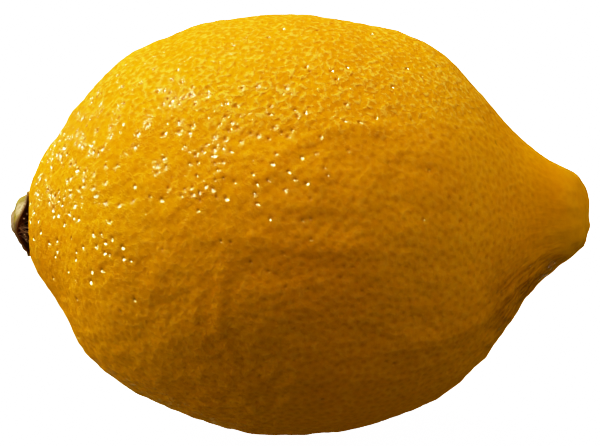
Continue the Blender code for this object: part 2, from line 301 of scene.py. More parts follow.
def build_peel():
    rng = np.random.default_rng(SEED)
    directions, faces = geodesic(FREQUENCY)
    s, angle = lay_on_skin(directions)
    base = skin(s, angle)
    normal = skin_normals(s, angle)
    x = base[:, 0]

    # faces must look outward
    a, b, c = base[faces[0]]
    if np.dot(np.cross(b - a, c - a), normal[faces[0][0]]) < 0:
        faces = faces[:, ::-1]

    pores = pick_pores(base, x, rng)
    count = len(pores)
    # most are shallow bowls; about one in five is a steep pit, more of them in some places
    crowd = noise_at(base[pores], 7.0, (5.2, 0.1, 3.3))
    px, pz = base[pores, 0], base[pores, 2]
    share = 0.13 + 0.12 * crowd + 0.30 * smooth(24.0, 34.0, -px) * smooth(30.0, 42.0, pz)
    share += 0.16 * np.exp(-(((px + 31.0) / 6.0) ** 2) - ((pz - 30.0) / 6.5) ** 2)
    share += 0.54 * np.exp(-(((px + 12.0) / 9.0) ** 2) - ((pz - 47.0) / 7.5) ** 2)
    share *= (1.0 - 0.65 * smooth(0.0, 22.0, px)) * (0.04 + 0.66 * smooth(18.0, 34.0, pz) + 0.30 * smooth(34.0, 42.0, pz))
    share *= 1.0 - 0.85 * smooth(55.0, 59.5, pz)
    share *= 1.0 - 0.30 * np.exp(-(((px + 23.0) / 6.0) ** 2) - ((pz - 46.0) / 8.0) ** 2)
    steep = rng.random(count) < share
    pore_bowl = (0.030 + 0.045 * rng.random(count)) * (1.0 + 0.35 * noise_at(base[pores], 5.0, (8.2, 3.1, 6.3)))
    pore_bowl *= 1.0 - 0.65 * finer(x[pores])
    pore_bowl *= 1.0 + 0.55 * smooth(-14.0, 0.0, px) * (1.0 - smooth(46.0, 52.0, pz))
    pore_depth = np.where(steep, 0.150 + 0.080 * rng.random(count), 0.035 + 0.040 * rng.random(count))
    pore_depth *= 1.0 - 0.70 * finer(x[pores])
    pore_size = np.where(steep, 0.165, 0.150) + 0.050 * rng.random(count)
    pore_tone = np.where(steep, 0.70 + 0.30 * rng.random(count), 0.48 * rng.random(count))

    # draw the net in round each pit, so that the pit's wall has points of its own
    around = neighbours(len(base), faces)
    moved = base.copy()
    for k in range(7):
        ring = around[pores, k]
        ok = ring >= 0
        centre, at = base[pores[ok]], base[ring[ok]]
        gap = np.linalg.norm(at - centre, axis=1, keepdims=True)
        moved[ring[ok]] = centre + (at - centre) * np.minimum(PORE_RING / gap, 1.0)
    base = moved

    tree = KDTree(count)
    for i, p in enumerate(base[pores]):
        tree.insert(p, i)
    tree.balance()
    near = [tree.find_n(p, 2) for p in base]
    first = np.array([n[0][1] for n in near])
    d1 = np.array([n[0][2] for n in near])
    d2 = np.array([n[1][2] for n in near])

    # ---- heights, mm
    height = swell(base)
    soft = 1.0 - finer(x)
    lumpy = soft * (1.50 - 0.50 * smooth(42.0, 54.0, base[:, 2])) * (1.0 - 0.32 * smooth(10.0, 26.0, x))
    lumpy *= 1.0 + 0.45 * smooth(3.0, 9.0, base[:, 2]) * (1.0 - smooth(10.0, 24.0, base[:, 2]))
    height += 0.120 * lumpy * (1.0 - 0.60 * smooth(20.0, 28.0, -x)) * noise_at(base, 4.2, (1.3, 8.8, 4.0))
    calm = 1.0 - 0.35 * smooth(-14.0, 0.0, x) * (1.0 - smooth(46.0, 52.0, base[:, 2]))
    height += 0.102 * lumpy * calm * noise_at(base, 2.2, (6.1, 2.6, 0.7))
    height += 0.050 * lumpy * calm * noise_at(base, 1.5, (2.1, 9.6, 5.7))
    crest = 1.0 + 1.8 * smooth(44.0, 57.0, base[:, 2])
    height += 0.030 * soft * crest * noise_at(base, 1.25, (0.1, 5.6, 3.7))
    # long low folds that run toward the nipple
    grown = base * np.array([0.22, 1.0, 1.0])
    height += 0.120 * smooth(-12.0, 6.0, x) * (1.0 - smooth(26.0, 36.0, x)) * noise_at(grown, 3.0, (8.1, 4.6, 2.7))
    # a bowl round each gland, and the pit in its middle
    height -= pore_bowl[first] * np.exp(-0.5 * (d1 / 0.33) ** 2)
    height -= pore_depth[first] * np.exp(-0.5 * (d1 / (pore_size[first] * 1.05)) ** 2) * 0.32

    # fine folds that run together at the nipple, and a shallow groove round its tip
    fold = smooth(29.0, 37.0, x) * smooth(-43.3, -41.8, -x)
    fold = fold * (0.45 + 2.0 * np.exp(-(((np.degrees(angle) - 142.0) / 28.0) ** 2)))
    run = np.stack((np.cos(angle) * 7.5, np.sin(angle) * 7.5, s * 0.16), -1)
    height += 0.110 * fold * noise_at(run, 1.9, (4.0, 1.0, 2.0))
    height += 0.045 * fold * noise_at(run, 0.9, (7.0, 3.0, 9.0))
    neck = smooth(22.0, 30.0, x) * np.exp(-(((np.degrees(angle) - 150.0) / 50.0) ** 2))
    height += 0.340 * neck * noise_at(base, 2.2, (5.5, 0.4, 8.1))
    height += 0.100 * smooth(38.0, 41.0, x) * noise_at(base, 1.7, (3.3, 7.4, 1.9))
    height -= 0.11 * np.exp(-(((x - 42.55) / 0.35) ** 2)) * (0.7 + 0.5 * np.sin(3 * angle + 1.0))
    height -= 0.20 * np.exp(-(((x - 43.05) / 0.30) ** 2) - ((np.degrees(angle) - 96.0) / 34.0) ** 2)
    tip = np.hypot(base[:, 1], base[:, 2] - AXIS_Z - axis_rise(43.8))
    nose = x > 42.0
    height -= nose * 0.38 * np.exp(-((tip / 0.85) ** 2))
    height += nose * 0.10 * np.exp(-(((tip - 1.7) / 0.6) ** 2))
    # ribs that fade out from the collar at the stem end
    rib = smooth(33.0, 38.5, -x) * smooth(-41.2, -40.2, x)
    run = np.stack((np.cos(angle) * 5.0, np.sin(angle) * 5.0, s * 0.10), -1)
    height += 0.07 * rib * noise_at(run, 1.8, (2.5, 6.0, 1.0))
    # the dish that the button sits in
    rim = np.hypot(base[:, 1], base[:, 2] - AXIS_Z - axis_rise(SEAT_X))
    dish = (x < SEAT_X + 1.2) * np.sqrt(np.clip(1.0 - (rim / SEAT_R) ** 4.4, 0.0, 1.0))
    height = height * (1.0 - 0.8 * np.clip(dish, 0, 1)) - dish * (SEAT_DEPTH - 0.02)
    facing = 0.2 + 0.8 * np.exp(-(((np.degrees(angle) - 100.0) / 38.0) ** 2))
    height -= 0.19 * facing * np.exp(-(((rim - 4.95) / 0.50) ** 2)) * (x < -40.0) * (1.0 - np.clip(dish, 0, 1))

    p = base + normal * height[:, None]
    # the spot it lies on is pressed flat
    low = p[:, 2] < 0.25
    z = p[low, 2]
    p[low, 2] = np.where(z < 0.0, 0.0, z)

    mesh = bpy.data.meshes.new("peel")
    mesh.from_pydata((p * MM).tolist(), [], faces.tolist())
    mesh.shade_smooth()

    # what the material needs to know of the skin, per face: its pore and how that pore is
    mid = base[faces].mean(axis=1)
    mine = np.array([tree.find(m)[1] for m in mid])
    centre = (p[pores] * MM)[mine]

    def face_value(name, kind, values):
        att = mesh.attributes.new(name, kind, "FACE")
        key = "vector" if kind == "FLOAT_VECTOR" else "value"
        att.data.foreach_set(key, np.asarray(values, np.float32).ravel())

    face_value("pore", "FLOAT_VECTOR", centre)
    face_value("pore_size", "FLOAT", pore_size[mine])
    face_value("pore_depth", "FLOAT", pore_depth[mine])
    face_value("pore_tone", "FLOAT", pore_tone[mine])

    def point_value(name, values):
        att = mesh.attributes.new(name, "FLOAT", "POINT")
        att.data.foreach_set("value", np.asarray(values, np.float32))

    point_value("nipple", smooth(30.0, 43.0, x))
    point_value("tip", np.where(nose, np.exp(-((tip / 1.1) ** 2)), 0.0))
    point_value("stem", smooth(30.0, 41.0, -x))
    point_value("seat", np.where(x < -38.0, 1.0 - smooth(4.2, 5.3, rim), 0.0))
    turn = np.degrees(angle)
    # painted light: a paler patch on the nipple's front side
    point_value("front", smooth(35.0, 40.0, x) * np.exp(-(((turn - 108.0) / 26.0) ** 2)))
    turn = np.where(turn < -60.0, turn + 360.0, turn)
    from_edge = turn - 118.0 - 3.4 * (x - 30.0)
    shade = np.exp(-((np.minimum(from_edge, 0.0) / 17.0) ** 2) - ((np.maximum(from_edge, 0.0) / 45.0) ** 2))
    point_value("shade", shade * smooth(26.0, 31.0, x) * smooth(-41.0, -37.0, -x))
    under = 0.18 + 0.82 * np.exp(-(((turn - 140.0) / 30.0) ** 2))
    point_value("crease", smooth(27.5, 33.5, x) * smooth(-41.5, -37.5, -x) * under)

    ob = bpy.data.objects.new("peel", mesh)
    bpy.context.scene.collection.objects.link(ob)
    print("peel:", len(p), "points,", len(faces), "triangles,", count, "pores")
    return ob


# ================================================================ node helpers
class Nodes:
    """Short calls for building a material's nodes."""

    def __init__(self, name):
        self.material = bpy.data.materials.new(name)
        self.material.use_nodes = True
        self.tree = self.material.node_tree
        self.tree.nodes.clear()
        self.out = self.tree.nodes.new("ShaderNodeOutputMaterial")
        self.shader = self.tree.nodes.new("ShaderNodeBsdfPrincipled")
        self.link(self.shader.outputs["BSDF"], self.out.inputs["Surface"])

    def link(self, a, b):
        self.tree.links.new(a, b)

    def put(self, socket, value):
        if isinstance(value, bpy.types.NodeSocket):
            self.link(value, socket)
        else:
            socket.default_value = value

    def math(self, op, a, b=None, c=None, clamp=False):
        n = self.tree.nodes.new("ShaderNodeMath")
        n.operation, n.use_clamp = op, clamp
        for i, v in enumerate((a, b, c)):
            if v is not None:
                self.put(n.inputs[i], v)
        return n.outputs[0]

    def vector(self, op, a, b=None, scale=None):
        n = self.tree.nodes.new("ShaderNodeVectorMath")
        n.operation = op
        self.put(n.inputs[0], a)
        if b is not None:
            self.put(n.inputs[1], b)
        if scale is not None:
            self.put(n.inputs["Scale"], scale)
        return n.outputs["Value" if op in ("DISTANCE", "LENGTH", "DOT_PRODUCT") else "Vector"]

    def attribute(self, name, output="Fac"):
        n = self.tree.nodes.new("ShaderNodeAttribute")
        n.attribute_type, n.attribute_name = "GEOMETRY", name
        return n.outputs[output]

    def coords(self):
        return self.tree.nodes.new("ShaderNodeTexCoord").outputs["Object"]

    def noise(self, where, scale, detail=2.0, rough=0.5, distortion=0.0):
        n = self.tree.nodes.new("ShaderNodeTexNoise")
        self.put(n.inputs["Vector"], where)
        n.inputs["Scale"].default_value = scale
        n.inputs["Detail"].default_value = detail
        n.inputs["Roughness"].default_value = rough
        n.inputs["Distortion"].default_value = distortion
        return n.outputs["Fac"]

    def colour_noise(self, where, scale):
        n = self.tree.nodes.new("ShaderNodeTexNoise")
        self.put(n.inputs["Vector"], where)
        n.inputs["Scale"].default_value = scale
        n.inputs["Detail"].default_value = 1.0
        return n.outputs["Color"]

    def voronoi(self, where, scale, feature="F1", output="Distance", randomness=1.0):
        n = self.tree.nodes.new("ShaderNodeTexVoronoi")
        n.feature = feature
        self.put(n.inputs["Vector"], where)
        n.inputs["Scale"].default_value = scale
        n.inputs["Randomness"].default_value = randomness
        return n.outputs[output]

    def ramp(self, value, low, high, to_low=0.0, to_high=1.0, kind="SMOOTHSTEP"):
        n = self.tree.nodes.new("ShaderNodeMapRange")
        n.interpolation_type = kind
        n.clamp = True
        for i, v in enumerate((value, low, high, to_low, to_high)):
            self.put(n.inputs[i], v)
        return n.outputs["Result"]

    def mix(self, factor, a, b, mode="MIX"):
        n = self.tree.nodes.new("ShaderNodeMix")
        n.data_type, n.blend_type = "RGBA", mode
        n.clamp_factor = True
        self.put(n.inputs[0], factor)
        self.put(n.inputs[6], a)
        self.put(n.inputs[7], b)
        return n.outputs[2]

    def bump(self, height, distance, strength=1.0, normal=None):
        n = self.tree.nodes.new("ShaderNodeBump")
        self.put(n.inputs["Height"], height)
        n.inputs["Distance"].default_value = distance
        n.inputs["Strength"].default_value = strength
        if normal is not None:
            self.put(n.inputs["Normal"], normal)
        return n.outputs["Normal"]

    def gauss(self, distance, width):
        """exp(-(distance/width)^2 / 2)"""
        q = self.math("DIVIDE", distance, width)
        q = self.math("MULTIPLY", q, q)
        q = self.math("MULTIPLY", q, -0.5)
        return self.math("EXPONENT", q)


# ================================================================ peel material
def peel_material():
    m = Nodes("peel")
    where = m.coords()
    mm = m.vector("SCALE", where, scale=1000.0)
    centre = m.vector("SCALE", m.attribute("pore", "Vector"), scale=1000.0)
    # pits aren't quite round: the distance is measured through a slight warp
    wobble = m.noise(mm, 2.4, 1.0)
    distance = m.vector("DISTANCE", mm, centre)
    distance = m.math("MULTIPLY", distance, m.ramp(wobble, 0.3, 0.7, 0.82, 1.18, "LINEAR"))
    size = m.attribute("pore_size")
    depth = m.attribute("pore_depth")
    tone = m.attribute("pore_tone")
    nipple = m.attribute("nipple")
    tip = m.attribute("tip")
    stem = m.attribute("stem")
    seat = m.attribute("seat")
    pit = m.gauss(distance, size)
    halo = m.gauss(distance, m.math("MULTIPLY", size, 1.9))

    # soft raised paler lumps that run together between the glands; on the crest their colour also holds a painted sheen
    net = m.noise(m.vector("ADD", mm, m.vector("SCALE", m.colour_noise(mm, 0.9), scale=0.6)), 1.40, 2.0, 0.5)
    net = m.math("MULTIPLY", m.ramp(net, 0.45, 0.64), m.ramp(halo, 0.20, 0.85, 1.0, 0.0))
    x = m.tree.nodes.new("ShaderNodeSeparateXYZ")
    m.link(mm, x.inputs[0])
    crest = m.ramp(x.outputs[2], 44.0, 57.0)

    # fine wrinkles that run in to the nipple
    around = m.tree.nodes.new("ShaderNodeCombineXYZ")
    m.put(around.inputs[1], x.outputs[1])
    m.put(around.inputs[2], m.math("SUBTRACT", x.outputs[2], AXIS_Z + 1.2))
    around = m.vector("SCALE", m.vector("NORMALIZE", around.outputs[0]), scale=9.0)
    along = m.tree.nodes.new("ShaderNodeCombineXYZ")
    m.put(along.inputs[0], m.math("MULTIPLY", x.outputs[0], 0.22))
    wrinkle = m.noise(m.vector("ADD", around, along.outputs[0]), 1.7, 2.0, 0.55, 0.4)

    # ---- colour
    broad = m.noise(mm, 0.055, 3.0, 0.55)
    patch = m.noise(mm, 0.22, 3.0, 0.6)
    fleck = m.noise(mm, 1.1, 3.0, 0.6)
    gold, deep = (0.905, 0.377, 0.0014, 1.0), (0.855, 0.324, 0.0009, 1.0)
    colour = m.mix(m.ramp(broad, 0.36, 0.66), gold, deep)
    colour = m.mix(m.math("MULTIPLY", m.ramp(patch, 0.42, 0.68), 0.45), colour, (0.94, 0.410, 0.0022, 1.0))
    colour = m.mix(m.math("MULTIPLY", m.ramp(fleck, 0.40, 0.62), 0.50), colour, (0.80, 0.282, 0.0006, 1.0))
    # paler lumps, with a painted sheen that grows up the crest
    colour = m.mix(m.math("MULTIPLY", net, m.math("MULTIPLY", m.ramp(nipple, 0.0, 0.35, 1.0, 0.0), m.ramp(crest, 0.0, 1.0, 0.16, 0.88))), colour, (1.0, 0.525, 0.0500, 1.0))
    # the glands' own darker tone, with painted shade in their pits, made stronger toward the stem end, on the crest,
    # low down and on the belly
    gland_tone_and_pit_shade = m.math("MULTIPLY", halo, m.ramp(tone, 0.0, 1.0, 0.30, 0.38, "LINEAR"))
    gland_tone_and_pit_shade = m.math("MULTIPLY", gland_tone_and_pit_shade, m.ramp(x.outputs[0], -36.0, -16.0, 1.55, 1.0))
    gland_tone_and_pit_shade = m.math("MULTIPLY", gland_tone_and_pit_shade, m.ramp(x.outputs[2], 42.0, 54.0, 1.0, 1.40))
    gland_tone_and_pit_shade = m.math("MULTIPLY", gland_tone_and_pit_shade, m.ramp(x.outputs[2], 8.0, 24.0, 1.20, 1.0))
    belly = m.math("MULTIPLY", m.ramp(x.outputs[0], -14.0, 0.0), m.ramp(x.outputs[2], 46.0, 52.0, 1.0, 0.0))
    gland_tone_and_pit_shade = m.math("MULTIPLY", gland_tone_and_pit_shade, m.ramp(belly, 0.0, 1.0, 1.0, 1.28))
    colour = m.mix(gland_tone_and_pit_shade, colour, (0.68, 0.24, 0.0004, 1.0))
    # painted shade: a dark brown spot in the steep pits, beside their glints, strongest toward the stem end and up the
    # fruit
    pit_shade = m.math("MULTIPLY", m.gauss(distance, m.math("MULTIPLY", size, 0.75)), m.ramp(tone, 0.55, 0.75, 0.0, 0.75))
    lit = m.math("SUBTRACT", x.outputs[0], m.math("MULTIPLY", m.math("SUBTRACT", x.outputs[2], 30.0), 0.8))
    pit_shade = m.math("MULTIPLY", pit_shade, m.ramp(lit, -16.0, 0.0, 1.0, 0.12))
    pit_shade = m.math("MULTIPLY", pit_shade, m.ramp(x.outputs[2], 14.0, 26.0, 0.3, 1.0))
    colour = m.mix(pit_shade, colour, (0.36, 0.10, 0.0004, 1.0))
    # painted shade: the nipple's upper side a little darker
    upper = m.math("MULTIPLY", m.ramp(nipple, 0.15, 0.75), m.ramp(x.outputs[2], AXIS_Z + 2.0, AXIS_Z + 8.0, 0.0, 0.62))
    colour = m.mix(upper, colour, (0.66, 0.235, 0.0009, 1.0))
    green = m.math("MULTIPLY", m.ramp(nipple, 0.70, 1.0), m.ramp(patch, 0.30, 0.65, 0.05, 0.30))
    colour = m.mix(green, colour, (0.68, 0.350, 0.008, 1.0))
    # painted light: the nipple's front side a little paler
    colour = m.mix(m.math("MULTIPLY", m.attribute("front"), 0.85), colour, (0.96, 0.405, 0.0025, 1.0))
    colour = m.mix(m.math("MULTIPLY", m.attribute("shade"), m.ramp(wrinkle, 0.35, 0.65, 0.20, 0.78)), colour, (0.40, 0.125, 0.0005, 1.0))
    # painted light: a little paler underneath on the nipple's side; painted shade: a little darker next to that
    painted_light_below = m.math("MULTIPLY", m.ramp(x.outputs[2], 9.0, 24.0, 1.0, 0.0), m.ramp(x.outputs[0], -4.0, 12.0))
    colour = m.mix(painted_light_below, colour, (1.10, 1.10, 1.10, 1.0), "MULTIPLY")
    painted_shade_below = m.math("MULTIPLY", m.gauss(m.math("ADD", x.outputs[0], 9.0), 6.5), m.gauss(m.math("SUBTRACT", x.outputs[2], 17.0), 6.0))
    colour = m.mix(painted_shade_below, colour, (0.90, 0.90, 0.90, 1.0), "MULTIPLY")
    # more lemon yellow toward the nipple; on the shoulder by the stem more lemon yellow and painted light, a little
    # paler; more orange on the crest
    colour = m.mix(m.ramp(x.outputs[0], 2.0, 28.0), colour, (1.0, 1.050, 1.10, 1.0), "MULTIPLY")
    # painted light on the shoulder by the stem, with a more lemon-yellow tint
    shoulder = m.gauss(m.math("ADD", x.outputs[0], 25.0), 7.5)
    shoulder = m.math("MULTIPLY", shoulder, m.ramp(x.outputs[2], 8.0, 16.0))
    shoulder = m.math("MULTIPLY", shoulder, m.ramp(x.outputs[2], 36.0, 50.0, 1.0, 0.0))
    colour = m.mix(shoulder, colour, (1.055, 1.150, 1.12, 1.0), "MULTIPLY")
    colour = m.mix(m.ramp(x.outputs[2], 56.0, 62.0), colour, (1.0, 0.935, 0.85, 1.0), "MULTIPLY")
    green = m.math("MULTIPLY", m.ramp(stem, 0.86, 1.0), m.ramp(patch, 0.35, 0.65, 0.0, 0.45))
    colour = m.mix(green, colour, (0.55, 0.34, 0.015, 1.0))
    colour = m.mix(m.math("MULTIPLY", tip, 0.9), colour, (0.12, 0.06, 0.015, 1.0))
    dark = m.mix(m.noise(mm, 2.2, 3.0), (0.014, 0.006, 0.004, 1.0), (0.060, 0.024, 0.008, 1.0))
    colour = m.mix(seat, colour, dark)
    m.put(m.shader.inputs["Base Color"], colour)

    # ---- gloss
    rough = m.ramp(m.noise(mm, 1.7, 3.0, 0.6), 0.25, 0.75, 0.30, 0.44)
    rough = m.math("ADD", rough, m.math("MULTIPLY", nipple, 0.10))
    rough = m.math("ADD", rough, m.math("MULTIPLY", seat, 0.30), clamp=True)
    m.put(m.shader.inputs["Roughness"], rough)
    m.shader.inputs["IOR"].default_value = 1.45
    m.shader.inputs["Specular IOR Level"].default_value = 0.0
    # the pits shine, and so do patches of the skin between them
    wet = m.math("MULTIPLY", m.gauss(distance, m.math("MULTIPLY", size, 1.35)), m.ramp(tone, 0.45, 0.72))
    glaze = m.math("MULTIPLY", m.ramp(m.noise(mm, 0.42, 2.0, 0.5), 0.59, 0.68), m.ramp(m.noise(mm, 1.6, 2.0, 0.5), 0.50, 0.62))
    wet = m.math("MAXIMUM", wet, m.math("MULTIPLY", glaze, 0.17))
    wet = m.math("MULTIPLY", wet, m.ramp(nipple, 0.0, 0.9, 1.0, 0.25, "LINEAR"))
    wet = m.math("MAXIMUM", wet, m.math("MULTIPLY", m.math("MULTIPLY", m.ramp(x.outputs[2], 9.0, 20.0, 0.40, 0.0), m.ramp(x.outputs[0], -12.0, 0.0, 1.0, 0.0)), m.ramp(fleck, 0.50, 0.64)))
    wet = m.math("MAXIMUM", wet, m.math("MULTIPLY", m.attribute("shade"), m.ramp(fleck, 0.54, 0.62, 0.0, 0.9)))
    m.put(m.shader.inputs["Coat Weight"], wet)
    m.shader.inputs["Coat Roughness"].default_value = 0.11
    m.shader.inputs["Coat IOR"].default_value = 1.45
    m.shader.inputs["Subsurface Weight"].default_value = 0.15
    m.shader.inputs["Subsurface Radius"].default_value = (0.85, 0.55, 0.10)
    m.shader.inputs["Subsurface Scale"].default_value = 0.0007

    # ---- relief finer than the mesh, mm
    hollow = m.math("MULTIPLY", pit, depth)
    relief = m.math("MULTIPLY", hollow, -0.20)
    fine = m.ramp(x.outputs[0], -6.0, 24.0, 0.044, 0.020)
    fine = m.math("ADD", fine, m.ramp(x.outputs[2], 40.0, 50.0, 0.0, 0.026))
    fine = m.math("ADD", fine, m.ramp(x.outputs[2], 10.0, 22.0, 0.016, 0.0))
    fine = m.math("ADD", fine, m.ramp(x.outputs[0], -36.0, -24.0, 0.036, 0.0))
    fine = m.math("MULTIPLY", m.noise(mm, 2.9, 2.0, 0.5), fine)
    grain = m.math("MULTIPLY", m.noise(mm, 9.0, 2.0, 0.5), 0.005)
    relief = m.math("ADD", relief, m.math("ADD", fine, grain))
    relief = m.math("ADD", relief, m.math("MULTIPLY", m.math("MULTIPLY", net, m.ramp(belly, 0.0, 1.0, 1.0, 0.5)), m.ramp(nipple, 0.0, 0.35, 0.040, 0.0)))
    relief = m.math("MULTIPLY", relief, m.ramp(crest, 0.0, 1.0, 1.0, 2.9))
    relief = m.math("ADD", relief, m.math("MULTIPLY", wrinkle, m.math("MULTIPLY", m.attribute("crease"), 0.42)))
    m.put(m.shader.inputs["Normal"], m.bump(relief, 0.001))
    # the wax follows the pits more closely than the light that seeps through the peel
    wax = m.math("SUBTRACT", relief, m.math("MULTIPLY", hollow, 1.40))
    m.put(m.shader.inputs["Coat Normal"], m.bump(wax, 0.001))
    return m.material


# ================================================================ the button
COLUMNS = 200
BETWEEN = 5


def round_the_rim(theta, stops):
    """Smooth periodic curve through (degrees, value) stops."""
    at = np.array([a for a, _ in stops] + [stops[0][0] + 360.0])
    v = np.array([b for _, b in stops] + [stops[0][1]])
    t = (np.degrees(theta) - at[0]) % 360.0 + at[0]
    i = np.clip(np.searchsorted(at, t, side="right") - 1, 0, len(at) - 2)
    u = (t - at[i]) / (at[i + 1] - at[i])
    n = len(stops)
    slope = np.array([
        (v[(k + 1) % n] - v[(k - 1) % n]) / ((at[(k + 1) % n] - at[(k - 1) % n]) % 360.0)
        for k in range(n)
    ])
    a, b = slope[i % n], slope[(i + 1) % n]
    h = at[i + 1] - at[i]
    return (
        v[i] * (2 * u**3 - 3 * u**2 + 1) + v[i + 1] * (3 * u**2 - 2 * u**3)
        + h * (a * (u**3 - 2 * u**2 + u) + b * (u**3 - u**2))
    )


def button_stations(theta):
    """Radius and height above the seat's face, station by station, outside in."""
    one = np.ones_like(theta)
    edge = round_the_rim(theta, [
        (0, 4.62), (20, 4.52), (45, 4.08), (80, 4.40), (113, 4.00), (148, 4.66), (170, 5.30),
        (190, 4.75), (215, 4.45), (250, 4.00), (290, 4.50), (330, 4.10),
    ])
    lift = round_the_rim(theta, [
        (0, -0.06), (22, -0.02), (42, 0.20), (60, 0.66), (75, 1.15), (90, 1.50), (106, 1.68),
        (118, 1.44), (129, 1.12), (141, 0.64), (152, 0.24), (163, -0.08), (174, -0.26), (195, -0.06),
        (250, 0.12), (300, 0.06),
    ])
    upper = round_the_rim(theta, [(0, 1.86), (45, 1.90), (95, 1.85), (140, 1.52), (180, 1.12), (270, 1.50)])
    flank = round_the_rim(theta, [
        (0, 1.32), (40, 1.42), (75, 1.58), (100, 1.74), (140, 1.12), (170, 0.45), (215, 0.50),
        (270, 0.85), (325, 1.25),
    ])
    wide = round_the_rim(theta, [(0, 3.52), (45, 3.40), (90, 3.15), (180, 3.15), (270, 3.20)])
    brow = round_the_rim(theta, [
        (0, 0.15), (40, 0.34), (80, 0.32), (110, 0.24), (150, 0.28), (180, 0.14), (215, 0.18), (270, 0.40), (330, 0.55),
    ])
    thin = round_the_rim(theta, [(0, 0.20), (60, 0.44), (110, 0.46), (150, 0.34), (172, 0.16), (230, 0.22), (320, 0.24)])
    return [
        (0.0 * one, 2.33 * one), (0.55 * one, 2.36 * one), (0.98 * one, 2.54 * one),
        (1.32 * one, 2.46 * one), (1.66 * one, 2.28 * one), (1.90 * one, 2.06 * one),
        (2.45 * one, upper), (wide, flank), (edge - 0.42, lift + brow),
        (edge - 0.08, lift + 0.20), (edge, lift - 0.02), (edge - 0.14, lift - 0.55 * thin),
        (edge - 0.55, lift - 0.60 * thin), (3.0 * one, 0.80 * lift - 0.16), (2.3 * one, 0.30 * lift - 0.20),
        (2.02 * one, -0.34 * one), (1.95 * one, -0.62 * one), (1.2 * one, -0.76 * one), (0.0 * one, -0.78 * one),
    ]


def catmull(stations):
    """Rows between the stations, and each row's place among them."""
    p = np.array(stations).transpose(0, 2, 1)
    rows, place = [], []
    for k in range(len(p) - 1):
        a, b, c, d = p[max(k - 1, 0)], p[k], p[k + 1], p[min(k + 2, len(p) - 1)]
        for u in np.arange(BETWEEN) / BETWEEN:
            rows.append(0.5 * (
                2 * b + (c - a) * u + (2 * a - 5 * b + 4 * c - d) * u**2
                + (3 * b - 3 * c + d - a) * u**3
            ))
            place.append(k + u)
    rows.append(p[-1])
    place.append(len(p) - 1.0)
    return np.array(rows), np.array(place)


def strand(path, thick, sides=5):
    """A closed thin tube along a path: points and faces."""
    n = len(path)
    along = np.gradient(path, axis=0)
    along /= np.linalg.norm(along, axis=1, keepdims=True)
    side = np.cross(along, (0.31, 0.55, 0.77))
    side /= np.linalg.norm(side, axis=1, keepdims=True)
    other = np.cross(along, side)
    points = [
        path[i] + thick[i] * (side[i] * math.cos(a) + other[i] * math.sin(a))
        for i in range(n) for a in np.arange(sides) * 2 * math.pi / sides
    ]
    faces = [
        (i * sides + j, i * sides + (j + 1) % sides, (i + 1) * sides + (j + 1) % sides, (i + 1) * sides + j)
        for i in range(n - 1) for j in range(sides)
    ]
    faces.append(tuple(range(sides))[::-1])
    faces.append(tuple((n - 1) * sides + j for j in range(sides)))
    return points, faces


